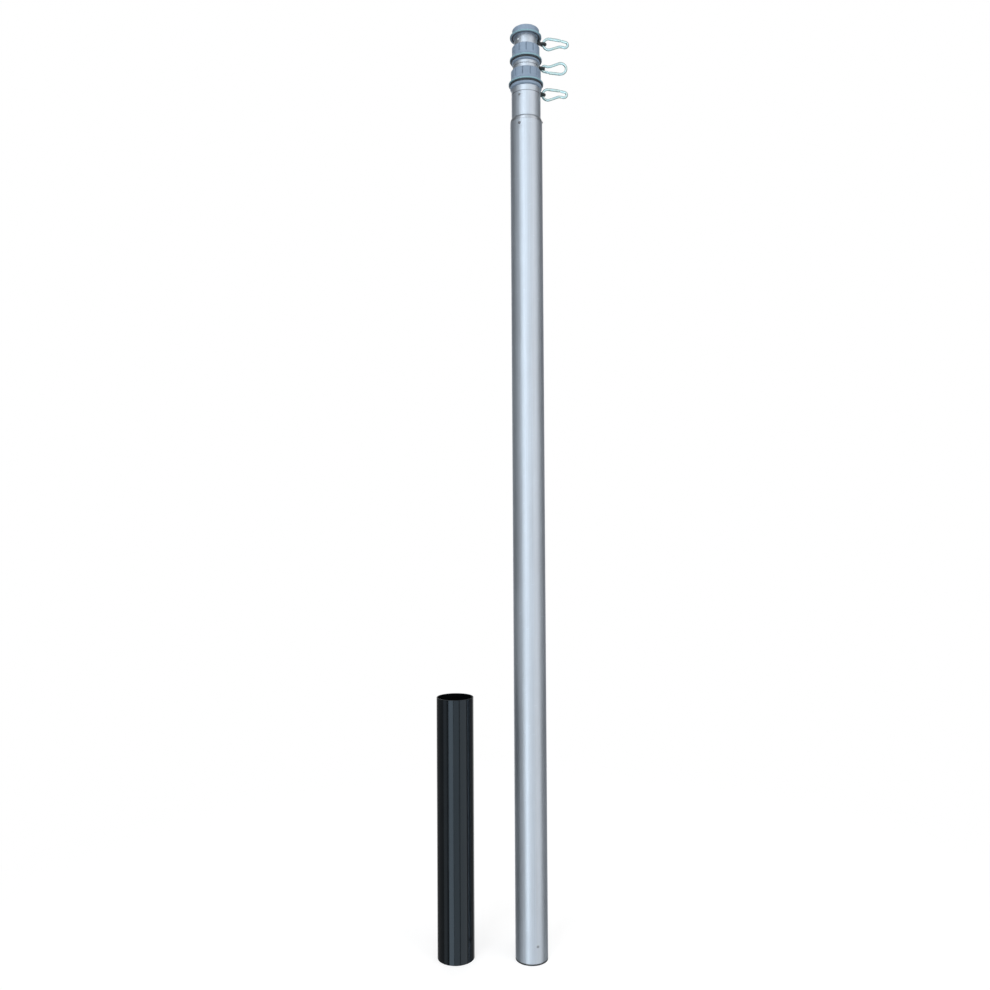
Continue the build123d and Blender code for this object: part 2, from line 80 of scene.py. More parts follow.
# What the finishes wear down to, what gathers on them, and the painted shade in their grooves
RUBBED_METAL = (0.86, 0.88, 0.9, 1)
# Painted shade in a tube's rolled grooves
CRIMP_PAINTED_SHADE = (0.14, 0.16, 0.19, 1)
DRILL_MARKS = (0.16, 0.17, 0.19, 1)
# Painted shade in a nut's grip grooves
GROOVE_PAINTED_SHADE = (0.07, 0.10, 0.15, 1)
WORN_SLEEVE = (0.05, 0.055, 0.06, 1)
WORN_PLATE = (0.50, 0.50, 0.49, 1)
METAL_DUST = (0.42, 0.40, 0.37, 1)
PLASTIC_DUST = (0.38, 0.37, 0.35, 1)
SLEEVE_DUST = (0.22, 0.22, 0.21, 1)
# Red, green and blue of a nut's widest rim against the plastic's own: a painted highlight, with some rubbing
RIM_HIGHLIGHT_TINT = (0.95, 1.35, 1.12)
SLEEVE_TINT = (0.66, 0.84, 1.0, 1)
SCREW_COLOUR = (0.85, 0.88, 0.9)
FOOT_RIVET_SHADE = 0.6

# Soft lights, all upright at one height and long enough for the pole drawn out, in metres and watts:
# name, degrees round from the front (positive to the right), distance, width, power, colour
WHITE = (1, 1, 1)
LAMP_HEIGHT = 4.0
LAMP_LENGTH = 8.8
SOFTBOXES = (
    ("key", -27, 2.7, 1.35, 70.8, (0.93, 0.97, 1.0)),
    ("front_fill", 7, 3.3, 2.0, 49.7, (0.95, 0.98, 1.0)),
    ("right_fill", 52, 3.0, 2.6, 68.9, (1.0, 0.97, 0.95)),
    ("left_fill", -64, 3.0, 1.2, 11.5, WHITE),
    ("back_left", -160, 3.2, 1.4, 28.6, WHITE),
    ("back_right", 160, 3.2, 1.4, 24.2, WHITE),
)
# Light of the backdrop, and how much less of it a shiny surface reflects
AMBIENT = 0.40
LESS_IN_REFLECTIONS = 0.24
SENSOR_WIDTH = 36
FLOOR_REACH = 6
# Distances from the pole between which the floor runs out into the background
FLOOR_FADE = (0.5, 1.5)
FLOOR_LIFT = 0.66


def row_points(node):
    """A node's vertices in the row frame, in metres."""
    return [NODES[node].matrix_world @ vertex.co for vertex in NODES[node].data.vertices]


def widest(node, share=0.0):
    """Largest radius of a node round the pole, above a share of its height, in metres."""
    low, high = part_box(node)
    start = low[2] + share * (high[2] - low[2])
    return max(math.hypot(point.x, point.y) for point in row_points(node) if point.z >= start)


def colour_property(name, description, default):
    return bpy.props.FloatVectorProperty(
        name=name, description=description, subtype="COLOR", size=3, min=0, max=1, default=default)


class FlagpoleFinish(bpy.types.PropertyGroup):
    """Colours and grain of the finishes."""

    aluminium: colour_property("Aluminium", "Colour of the satin tubes", (0.62, 0.69, 0.77))
    bush: colour_property("Bush", "Colour of the bush in the main tube's mouth", (0.52, 0.57, 0.63))
    plastic: colour_property("Grey plastic", "Colour of the nuts, collars and cap", (0.235, 0.315, 0.42))
    ring_plastic: colour_property("Black plastic", "Colour of the flag rings and plugs", (0.032, 0.039, 0.043))
    zinc: colour_property("Zinc plate", "Colour of the snap hooks", (0.60, 0.80, 0.82))
    sleeve: colour_property("Sleeve", "Colour of the ground sleeve", (0.0025, 0.003, 0.0035))
    rivet: colour_property("Rivets", "Colour of the darkened rivets", (0.24, 0.25, 0.27))
    tube_roughness: bpy.props.FloatProperty(
        name="Tube roughness", description="How matt the satin tubes are", min=0, max=1, default=0.48)


class FlagpoleStage(bpy.types.PropertyGroup):
    """Camera."""

    eye_height: bpy.props.FloatProperty(
        name="Camera height", description="Height of the camera above the floor", unit="LENGTH", default=0.944)
    eye_distance: bpy.props.FloatProperty(
        name="Camera distance", description="From the camera to the pole's axis", unit="LENGTH", default=1.913)
    eye_aside: bpy.props.FloatProperty(
        name="Camera aside", description="How far the camera stands left of the pole",
        unit="LENGTH", default=0.0732)
    pitch: bpy.props.FloatProperty(
        name="Pitch", description="How far the camera looks up", unit="ROTATION", default=math.radians(1.46))
    roll: bpy.props.FloatProperty(
        name="Roll", description="How far the camera leans", unit="ROTATION", default=math.radians(-0.33))
    lens: bpy.props.FloatProperty(
        name="Lens", description="Focal length on a 36 mm sensor", min=10, max=200, default=32.04)


# Node trees


def add_node(tree, kind, settings=None, **inputs):
    """A node with its settings and its inputs, which are values or other nodes' sockets."""
    node = tree.nodes.new(kind)
    for name, value in (settings or {}).items():
        setattr(node, name, value)
    for name, value in inputs.items():
        key = int(name[1:]) if name[0] == "i" and name[1:].isdigit() else name.replace("_", " ")
        socket = node.inputs[key]
        if isinstance(value, bpy.types.NodeSocket):
            tree.links.new(value, socket)
        else:
            socket.default_value = value
    return node


def maths(tree, operation, first, second=0.0, clamp=False):
    node = add_node(tree, "ShaderNodeMath", {"operation": operation, "use_clamp": clamp}, i0=first, i1=second)
    return node.outputs[0]


def plus(tree, first, second, clamp=False):
    return maths(tree, "ADD", first, second, clamp)


def times(tree, first, second, clamp=False):
    return maths(tree, "MULTIPLY", first, second, clamp)


def blend_colours(tree, share, first, second, kind="MIX"):
    node = add_node(tree, "ShaderNodeMix", {"data_type": "RGBA", "blend_type": kind},
                    i0=share, i6=first, i7=second)
    return node.outputs[2]


def ramp(tree, value, low, high, out_low=0.0, out_high=1.0):
    """Maps a span of a value to another span, held at its ends."""
    node = add_node(tree, "ShaderNodeMapRange", {"interpolation_type": "SMOOTHSTEP"},
                    i0=value, i1=low, i2=high, i3=out_low, i4=out_high)
    return node.outputs[0]


def noise(tree, place, scale, detail=3.0, stretch=None):
    """Noise at so many features a metre, drawn out along an axis where stretch is given."""
    if stretch:
        place = add_node(tree, "ShaderNodeMapping", Vector=place, Scale=stretch).outputs[0]
    return add_node(tree, "ShaderNodeTexNoise", Vector=place, Scale=scale, Detail=detail).outputs[0]


def object_place(tree):
    """Place on a piece as it stands at rest, in metres."""
    return add_node(tree, "ShaderNodeTexCoord").outputs["Object"]


def toned(tree, colour, factor):
    """A colour made lighter or darker by a factor."""
    return add_node(tree, "ShaderNodeVectorMath", {"operation": "SCALE"}, i0=colour, Scale=factor).outputs[0]


def give_out(group, out, **results):
    """Links what a group works out to its outputs."""
    for name, result in results.items():
        group.links.new(result, out.inputs[name])


def new_group(name, inputs, outputs):
    """An empty shader group with named sockets: (name, kind, default)."""
    group = bpy.data.node_groups.new(name, "ShaderNodeTree")
    for label, kind, default in inputs:
        socket = group.interface.new_socket(label, in_out="INPUT", socket_type=kind)
        socket.default_value = default
    for label, kind in outputs:
        group.interface.new_socket(label, in_out="OUTPUT", socket_type=kind)
    return group, group.nodes.new("NodeGroupInput"), group.nodes.new("NodeGroupOutput")


COLOUR, NUMBER, PLACE = "NodeSocketColor", "NodeSocketFloat", "NodeSocketVector"


def drawn_metal_group():
    """Long die lines, a fine satin grain and a slow change of tone along a drawn tube."""
    group, given, out = new_group(
        "Drawn Metal",
        [("Color", COLOUR, (0.7, 0.7, 0.7, 1)), ("Roughness", NUMBER, 0.4), ("Lines", NUMBER, 0.1),
         ("Cloud", NUMBER, 0.1), ("Scuffs", NUMBER, 0.1)],
        [("Color", COLOUR), ("Roughness", NUMBER), ("Height", NUMBER)])
    place = object_place(group)
    lines = noise(group, place, 900, 4, (1, 1, 0.004))
    grain = noise(group, place, 2600, 2)
    cloud = noise(group, place, 9, 4, (1, 1, 0.35))
    line_tone = ramp(group, lines, 0.32, 0.68, -1, 1)
    cloud_tone = ramp(group, cloud, 0.35, 0.65, -1, 1)
    tone = times(group, line_tone, given.outputs["Lines"])
    tone = plus(group, tone, times(group, cloud_tone, given.outputs["Cloud"]))
    scuff_field = noise(group, place, 60, 6, (1, 1, 3.5))
    scuff = ramp(group, scuff_field, 0.62, 0.72)
    scuff = times(group, scuff, ramp(group, grain, 0.45, 0.6))
    scuff = times(group, scuff, given.outputs["Scuffs"])
    bright = plus(group, plus(group, tone, 1.0), times(group, scuff, 0.35))
    tinted = toned(group, given.outputs["Color"], bright)
    rough = plus(group, given.outputs["Roughness"], times(group, line_tone, 0.035))
    rough = plus(group, rough, times(group, cloud_tone, 0.03))
    rough = plus(group, rough, times(group, scuff, 0.12), clamp=True)
    height = plus(group, times(group, lines, 0.7), times(group, grain, 0.3))
    give_out(group, out, Color=tinted, Roughness=rough, Height=height)
    return group


def edge_wear_group():
    """How near a point is to an edge, broken up as handling breaks it up."""
    group, given, out = new_group(
        "Edge Wear",
        [("Radius", NUMBER, 0.0008), ("Strength", NUMBER, 1.0), ("Breakup", NUMBER, 300.0)],
        [("Mask", NUMBER)])
    soft = add_node(group, "ShaderNodeBevel", {"samples": 4}, Radius=given.outputs["Radius"]).outputs[0]
    sharp = add_node(group, "ShaderNodeNewGeometry").outputs["Normal"]
    along = add_node(group, "ShaderNodeVectorMath", {"operation": "DOT_PRODUCT"},
                     i0=soft, i1=sharp).outputs["Value"]
    edge = ramp(group, along, 0.99, 0.80)
    place = object_place(group)
    patches = ramp(group, noise(group, place, given.outputs["Breakup"], 5), 0.38, 0.62)
    mask = times(group, times(group, edge, patches), given.outputs["Strength"], clamp=True)
    give_out(group, out, Mask=mask)
    return group


def dust_group():
    """Fine dust that settles on what faces up, and in soft patches."""
    group, given, out = new_group(
        "Settled Dust",
        [("Amount", NUMBER, 0.2), ("Scale", NUMBER, 40.0)],
        [("Mask", NUMBER)])
    facing = add_node(group, "ShaderNodeSeparateXYZ", Vector=add_node(
        group, "ShaderNodeNewGeometry").outputs["Normal"]).outputs["Z"]
    up = ramp(group, facing, -0.2, 1.0, 0.15, 1.0)
    place = object_place(group)
    patches = ramp(group, noise(group, place, given.outputs["Scale"], 6), 0.4, 0.7)
    mask = times(group, times(group, up, patches), given.outputs["Amount"], clamp=True)
    give_out(group, out, Mask=mask)
    return group


def moulded_plastic_group():
    """Spark-eroded mould grain, faint flow marks and a little change of tone."""
    group, given, out = new_group(
        "Moulded Plastic",
        [("Color", COLOUR, (0.2, 0.2, 0.2, 1)), ("Roughness", NUMBER, 0.5), ("Grain Scale", NUMBER, 1600.0),
         ("Flow", NUMBER, 0.1)],
        [("Color", COLOUR), ("Roughness", NUMBER), ("Height", NUMBER)])
    place = object_place(group)
    grain = noise(group, place, given.outputs["Grain Scale"], 2)
    flow = noise(group, place, 55, 5, (1, 1, 0.25))
    flow_tone = ramp(group, flow, 0.35, 0.65, -1, 1)
    tone = times(group, flow_tone, given.outputs["Flow"])
    tone = plus(group, tone, ramp(group, grain, 0.3, 0.7, 0.96, 1.04))
    tinted = toned(group, given.outputs["Color"], tone)
    rough = plus(group, given.outputs["Roughness"], times(group, flow_tone, 0.05), clamp=True)
    give_out(group, out, Color=tinted, Roughness=rough, Height=grain)
    return group


def plated_group():
    """Zinc plate: fine crystals, and cloudy passivation with a hint of blue and straw."""
    group, given, out = new_group(
        "Zinc Plate",
        [("Color", COLOUR, (0.75, 0.78, 0.8, 1)), ("Roughness", NUMBER, 0.2), ("Passivation", NUMBER, 0.2)],
        [("Color", COLOUR), ("Roughness", NUMBER), ("Height", NUMBER)])
    place = object_place(group)
    crystals = noise(group, place, 1500, 3)
    cloud = noise(group, place, 90, 4)
    straw = blend_colours(group, ramp(group, cloud, 0.42, 0.62), (0.80, 0.93, 1.0, 1), (1.0, 0.95, 0.86, 1))
    tinted = blend_colours(group, given.outputs["Passivation"], given.outputs["Color"],
                           blend_colours(group, 1.0, given.outputs["Color"], straw, "MULTIPLY"))
    tone = ramp(group, crystals, 0.3, 0.7, 0.93, 1.04)
    tinted = toned(group, tinted, tone)
    rough = plus(group, given.outputs["Roughness"], ramp(group, cloud, 0.35, 0.65, -0.05, 0.09))
    rough = plus(group, rough, ramp(group, crystals, 0.3, 0.7, -0.03, 0.03), clamp=True)
    give_out(group, out, Color=tinted, Roughness=rough, Height=crystals)
    return group


def turned_zones_group():
    """Tells a turned moulding's grip grooves and its widest rim apart by their distance from the pole's axis."""
    group, given, out = new_group(
        "Turned Zones",
        [("Body Radius", NUMBER, 0.03), ("Rim Radius", NUMBER, 0.035)],
        [("Groove", NUMBER), ("Rim", NUMBER)])
    place = object_place(group)
    flat = add_node(group, "ShaderNodeVectorMath", {"operation": "MULTIPLY"}, i0=place, i1=(1, 1, 0)).outputs[0]
    radius = add_node(group, "ShaderNodeVectorMath", {"operation": "LENGTH"}, i0=flat).outputs["Value"]
    sunk = maths(group, "SUBTRACT", given.outputs["Body Radius"], radius)
    short = maths(group, "SUBTRACT", given.outputs["Rim Radius"], radius)
    breakup = ramp(group, noise(group, place, 180, 4), 0.3, 0.6, 0.7, 1.0)
    groove = times(group, ramp(group, sunk, 0.05 * MM, 0.45 * MM), breakup)
    rim = times(group, ramp(group, short, 0.9 * MM, 0.1 * MM), breakup)
    give_out(group, out, Groove=groove, Rim=rim)
    return group


def fastening_marks_group():
    """Specks and short scratches that a drill and a riveter leave round a place."""
    group, given, out = new_group(
        "Fastening Marks",
        [("Place", PLACE, (0, 0, 0)), ("Reach", NUMBER, 0.01)],
        [("Mask", NUMBER)])
    here = object_place(group)
    away = add_node(group, "ShaderNodeVectorMath", {"operation": "DISTANCE"},
                    i0=here, i1=given.outputs["Place"]).outputs["Value"]
    near = ramp(group, maths(group, "DIVIDE", away, given.outputs["Reach"]), 1.0, 0.25)
    specks = ramp(group, noise(group, here, 1700, 4, (1, 1, 0.6)), 0.56, 0.64)
    give_out(group, out, Mask=times(group, near, specks))
    return group


GROUP_MAKERS = {
    "Drawn Metal": drawn_metal_group,
    "Fastening Marks": fastening_marks_group,
    "Edge Wear": edge_wear_group,
    "Settled Dust": dust_group,
    "Moulded Plastic": moulded_plastic_group,
    "Turned Zones": turned_zones_group,
    "Zinc Plate": plated_group,
}


def use_group(tree, name, **inputs):
    """The shared effect group, built the first time it is used."""
    group = bpy.data.node_groups.get(name) or GROUP_MAKERS[name]()
    return add_node(tree, "ShaderNodeGroup", {"node_tree": group}, **inputs)


def new_material(name):
    """Material with only its output and one Principled shader."""
    material = bpy.data.materials.new(name)
    material.use_nodes = True
    tree = material.node_tree
    tree.nodes.clear()
    output = tree.nodes.new("ShaderNodeOutputMaterial")
    shader = tree.nodes.new("ShaderNodeBsdfPrincipled")
    tree.links.new(shader.outputs[0], output.inputs["Surface"])
    return material, tree, shader


def bumped(tree, shader, height, strength, distance):
    bump = add_node(tree, "ShaderNodeBump", Height=height, Strength=strength, Distance=distance)
    tree.links.new(bump.outputs[0], shader.inputs["Normal"])


def opaque(colour):
    return (*colour, 1.0)


def paler(colour, factor):
    return [min(1, factor * part) for part in colour]


def surface(tree, shader, colour, roughness):
    """Links a finished colour and roughness to the shader."""
    tree.links.new(colour, shader.inputs["Base Color"])
    tree.links.new(roughness, shader.inputs["Roughness"])


def metal_finish(name, colour, roughness, lines, cloud, scuffs, radius=0.0, marks=()):
    """Satin drawn aluminium with worn pale edges, painted shade in its rolled grooves where the surface lies
    inside a radius, and marks at given places.
    """
    material, tree, shader = new_material(name)
    metal = use_group(tree, "Drawn Metal", Color=opaque(colour), Roughness=roughness, Lines=lines,
                      Cloud=cloud, Scuffs=scuffs)
    edge = use_group(tree, "Edge Wear", Radius=0.7 * MM, Strength=0.8, Breakup=260).outputs["Mask"]
    dust = use_group(tree, "Settled Dust", Amount=0.10, Scale=30).outputs["Mask"]
    # Painted shade where the tube's surface lies 0.05 to 0.45 mm inside its outer radius
    crimp_shade = use_group(tree, "Turned Zones", Body_Radius=radius).outputs["Groove"]
    tone = blend_colours(tree, edge, metal.outputs["Color"], RUBBED_METAL)
    tone = blend_colours(tree, times(tree, crimp_shade, 0.6), tone, CRIMP_PAINTED_SHADE)
    for place in marks:
        mark = use_group(tree, "Fastening Marks", Place=place, Reach=MARKS_REACH).outputs["Mask"]
        tone = blend_colours(tree, times(tree, mark, 0.7), tone, DRILL_MARKS)
    tone = blend_colours(tree, dust, tone, METAL_DUST)
    rough = plus(tree, metal.outputs["Roughness"], times(tree, dust, 0.3))
    rough = maths(tree, "SUBTRACT", rough, times(tree, edge, 0.12), clamp=True)
    surface(tree, shader, tone, rough)
    shader.inputs["Metallic"].default_value = 1.0
    bumped(tree, shader, metal.outputs["Height"], strength=0.12, distance=0.1 * MM)
    return material


def plastic_finish(name, colour, worn, roughness, grain, flow, wear, dust_amount, radii=None):
    """Moulded plastic with paler worn edges and a little dust on top.

    The radii of a nut's grip and rim add painted shade in its grooves and a painted highlight on its rim, a
    little green, with some rubbing.
    """
    material, tree, shader = new_material(name)
    plastic = use_group(tree, "Moulded Plastic", Color=opaque(colour), Roughness=roughness,
                        Grain_Scale=grain, Flow=flow)
    edge = use_group(tree, "Edge Wear", Radius=0.6 * MM, Strength=wear, Breakup=420).outputs["Mask"]
    dust = use_group(tree, "Settled Dust", Amount=dust_amount, Scale=70).outputs["Mask"]
    tone, rough = plastic.outputs["Color"], plastic.outputs["Roughness"]
    if radii:
        zones = use_group(tree, "Turned Zones", Body_Radius=radii[0], Rim_Radius=radii[1])
        groove, rim = zones.outputs["Groove"], zones.outputs["Rim"]
        # Painted highlight on the widest rim, paler and a little green, with some rubbing
        rim_highlight = [share * part for share, part in zip(RIM_HIGHLIGHT_TINT, colour)]
        # Painted shade in the grip grooves
        tone = blend_colours(tree, times(tree, groove, 0.5), tone, GROOVE_PAINTED_SHADE)
        tone = blend_colours(tree, times(tree, rim, 0.85), tone, opaque(rim_highlight))
        rough = plus(tree, rough, times(tree, groove, 0.25))
    tone = blend_colours(tree, edge, tone, opaque(worn))
    tone = blend_colours(tree, dust, tone, PLASTIC_DUST)
    surface(tree, shader, tone, plus(tree, rough, times(tree, dust, 0.3), clamp=True))
    bumped(tree, shader, plastic.outputs["Height"], strength=0.25, distance=0.06 * MM)
    return material


def sleeve_finish(name, colour):
    """Gloss black extruded tube with faint die lines and fine hairline scratches."""
    material, tree, shader = new_material(name)
    metal = use_group(tree, "Drawn Metal", Color=opaque(colour), Roughness=0.13, Lines=0.10,
                      Cloud=0.15, Scuffs=0.4)
    edge = use_group(tree, "Edge Wear", Radius=0.9 * MM, Strength=0.5, Breakup=180).outputs["Mask"]
    dust = use_group(tree, "Settled Dust", Amount=0.025, Scale=45).outputs["Mask"]
    tone = blend_colours(tree, edge, metal.outputs["Color"], WORN_SLEEVE)
    tone = blend_colours(tree, dust, tone, SLEEVE_DUST)
    surface(tree, shader, tone, plus(tree, metal.outputs["Roughness"], times(tree, dust, 0.5), clamp=True))
    shader.inputs["Specular IOR Level"].default_value = 0.55
    shader.inputs["Specular Tint"].default_value = SLEEVE_TINT
    bumped(tree, shader, metal.outputs["Height"], strength=0.06, distance=0.1 * MM)
    return material


def plate_finish(name, colour, roughness, passivation):
    """Bright zinc-plated steel."""
    material, tree, shader = new_material(name)
    plate = use_group(tree, "Zinc Plate", Color=opaque(colour), Roughness=roughness, Passivation=passivation)
    edge = use_group(tree, "Edge Wear", Radius=0.4 * MM, Strength=0.7, Breakup=500).outputs["Mask"]
    tone = blend_colours(tree, edge, plate.outputs["Color"], WORN_PLATE)
    surface(tree, shader, tone, plus(tree, plate.outputs["Roughness"], times(tree, edge, 0.1), clamp=True))
    shader.inputs["Metallic"].default_value = 1.0
    bumped(tree, shader, plate.outputs["Height"], strength=0.15, distance=0.03 * MM)
    return material


def dress(names, material):
    """Gives a material to whole nodes of the frame."""
    for name in names:
        slots = NODES[name].material_slots
        if not slots:
            NODES[name].data.materials.append(material)
        for each in slots:
            each.link = "OBJECT"
            each.material = material


# Pieces


def side_of_pole(azimuth, radius, height):
    """Frame on the pole's side with Z outwards and Y up: azimuth is from the front, positive to the right."""
    turn = math.radians(azimuth - 90)
    out = Vector((math.cos(turn), math.sin(turn), 0))
    up = Vector((0, 0, 1))
    rotation = Matrix((up.cross(out), up, out)).transposed().to_4x4()
    return Matrix.Translation(out * radius + up * height) @ rotation


def fastener_places(node):
    """Azimuth, tip radius, height and head radius of each of the one or two fasteners in a node.

    All are read from the node's own vertices. Two fasteners lie on opposite sides of the pole.
    """
    points = row_points(node)
    first = points[0].xy
    places = []
    for side in (1, -1):
        group = [point for point in points if side * point.xy.dot(first) > 0]
        if group:
            middle = sum((point.xy for point in group), Vector((0, 0)))
            low = min(point.z for point in group)
            high = max(point.z for point in group)
            azimuth = math.degrees(math.atan2(middle.y, middle.x)) + 90
            out = middle.normalized()
            tip = max(point.xy.dot(out) for point in group)
            places.append((azimuth, tip, (low + high) / 2, (high - low) / 2))
    return places


def drilled_places(node):
    """Middles of the marks that drilling left a little below each fastener of a node."""
    return [side_of_pole(azimuth, tip, height - MARKS_BELOW_RIVET).translation
            for azimuth, tip, height, _ in fastener_places(node)]


def untagged(build):
    return [vertex for vertex in build.verts if not vertex.tag]


def spun(build, profile, place, steps=48):
    """Adds a solid of revolution to a mesh, from (radius, height) points that end on its axis."""
    points = [build.verts.new((radius, 0, height)) for radius, height in profile]
    edges = [build.edges.new(pair) for pair in zip(points, points[1:])]
    bmesh.ops.spin(build, geom=points + edges, cent=(0, 0, 0), axis=(0, 0, 1), angle=math.tau, steps=steps,
                   use_merge=True)
    bmesh.ops.remove_doubles(build, verts=untagged(build), dist=1e-7)
    fresh = untagged(build)
    bmesh.ops.transform(build, matrix=place, verts=fresh)
    for vertex in fresh:
        vertex.tag = True


def dome(radius, height, stop=0.0, steps=10):
    """Points of a low dome from its edge in towards its axis, as far as a share of its radius."""
    ball = (radius ** 2 + height ** 2) / (2 * height)
    last = math.asin(stop * radius / ball)
    first = math.asin(min(1.0, radius / ball))
    angles = [first + (last - first) * step / steps for step in range(steps + 1)]
    return [(ball * math.sin(angle), height - ball + ball * math.cos(angle)) for angle in angles]


def blind_rivet(radius, height):
    """Head of a blind rivet with the broken end of its mandrel in the middle."""
    skirt = [(radius, -HEAD_SINK * radius)]
    crown = dome(radius, height, 0.42)
    top = crown[-1][1]
    return skirt + crown + [
        (0.36 * radius, top - 0.04 * radius), (0.35 * radius, 0.5 * height), (0.31 * radius, 0.5 * height),
        (0.30 * radius, 0.74 * height), (0.22 * radius, 0.80 * height), (0.10 * radius, 0.77 * height),
        (0, 0.79 * height)]


def screw_head(radius, height):
    """Head of a pan screw, before its cross recess is cut."""
    edge = SCREW_EDGE * height
    return [(radius, -HEAD_SINK * radius), (radius, edge)] + [
        (across, edge + rise) for across, rise in dome(radius, (1 - SCREW_EDGE) * height)[1:]]


def cross_cutter(build, radius, height, place):
    """Adds the tapered cross that cuts a screw's recess."""
    long, wide = 0.58 * radius, 0.15 * radius
    mouth, floor = 1.3 * height, 0.38 * height
    taper_x, taper_y = 0.62, 0.8
    corners = [(long, wide), (wide, wide), (wide, long), (-wide, long), (-wide, wide), (-long, wide),
               (-long, -wide), (-wide, -wide), (-wide, -long), (wide, -long), (wide, -wide), (long, -wide)]
    top = [build.verts.new((x, y, mouth)) for x, y in corners]
    bottom = [build.verts.new((taper_x * x, taper_y * y, floor)) for x, y in corners]
    build.faces.new(top)
    build.faces.new(reversed(bottom))
    for step in range(len(corners)):
        after = (step + 1) % len(corners)
        build.faces.new((top[after], top[step], bottom[step], bottom[after]))
    bmesh.ops.transform(build, matrix=place, verts=top + bottom)


def new_piece(name, build, material=None):
    """Object from a finished mesh build, shaded smooth but for its sharp edges."""
    bmesh.ops.recalc_face_normals(build, faces=build.faces)
    mesh = bpy.data.meshes.new(name)
    build.to_mesh(mesh)
    build.free()
    mesh.shade_smooth()
    mesh.set_sharp_from_angle(angle=SHARP_ANGLE)
    if material:
        mesh.materials.append(material)
    piece = bpy.data.objects.new(name, mesh)
    bpy.context.scene.collection.objects.link(piece)
    return piece


def cut(piece, cutter):
    """Takes one piece out of another and deletes the cutter."""
    difference = piece.modifiers.new("recess", "BOOLEAN")
    difference.object = cutter
    difference.solver = "EXACT"
    graph = bpy.context.evaluated_depsgraph_get()
    mesh = bpy.data.meshes.new_from_object(piece.evaluated_get(graph))
    piece.modifiers.clear()
    piece.data = mesh
    mesh.set_sharp_from_angle(angle=SHARP_ANGLE)
    bpy.data.objects.remove(cutter)


def fit_heads(node, body, material, height, recessed):
    """Detailed heads in place of a node's plain ones, riding on its body."""
    profile = screw_head if recessed else blind_rivet
    turn = Matrix.Rotation(HEAD_TURN, 4, "Z")
    heads = [(side_of_pole(azimuth, tip - height, middle) @ turn, radius)
             for azimuth, tip, middle, radius in fastener_places(node)]
    build = bmesh.new()
    for place, radius in heads:
        spun(build, profile(radius, height), place)
    piece = new_piece(node + "_heads", build, material)
    if recessed:
        crosses = bmesh.new()
        for place, radius in heads:
            cross_cutter(crosses, radius, height, place)
        cut(piece, new_piece("cutter", crosses))
    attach(piece, body)
    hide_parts(node)


# Stage


def add_camera(stage):
    data = bpy.data.cameras.new("camera")
    data.lens = stage.lens
    data.sensor_width = SENSOR_WIDTH
    camera = bpy.data.objects.new("camera", data)
    bpy.context.scene.collection.objects.link(camera)
    place = Matrix.Translation((-stage.eye_aside, -stage.eye_distance, stage.eye_height))
    look = Matrix.Rotation(math.radians(90) + stage.pitch, 4, "X")
    camera.matrix_world = place @ look @ Matrix.Rotation(stage.roll, 4, "Z")
    bpy.context.scene.camera = camera


def add_softbox(name, azimuth, distance, width, power, colour):
    """Upright soft light that faces the pole."""
    data = bpy.data.lights.new(name, "AREA")
    data.shape = "RECTANGLE"
    data.size = width
    data.size_y = LAMP_LENGTH
    data.energy = power
    data.color = colour
    lamp = bpy.data.objects.new(name, data)
    bpy.context.scene.collection.objects.link(lamp)
    turn = math.radians(azimuth)
    lamp.location = (distance * math.sin(turn), -distance * math.cos(turn), LAMP_HEIGHT)
    aim = Vector((0, 0, LAMP_HEIGHT)) - lamp.location
    lamp.rotation_euler = aim.to_track_quat("-Z", "Y").to_euler()
    lamp.visible_camera = False


def ray_kinds(tree):
    """Shares of the rays that come straight from the camera, and of those that a shiny surface sends."""
    path = tree.nodes.new("ShaderNodeLightPath")
    seen = maths(tree, "MAXIMUM", path.outputs["Is Camera Ray"], path.outputs["Is Transmission Ray"])
    return seen, path.outputs["Is Glossy Ray"]


def add_world():
    """White to the camera, dimmer as light."""
    world = bpy.data.worlds.new("studio")
    bpy.context.scene.world = world
    world.use_nodes = True
    tree = world.node_tree
    tree.nodes.clear()
    seen, glossy = ray_kinds(tree)
    reflected = times(tree, glossy, -LESS_IN_REFLECTIONS)
    strength = maths(tree, "MAXIMUM", seen, plus(tree, reflected, AMBIENT))
    back = add_node(tree, "ShaderNodeBackground", Color=(1, 1, 1, 1), Strength=strength)
    output = tree.nodes.new("ShaderNodeOutputWorld")
    tree.links.new(back.outputs[0], output.inputs["Surface"])


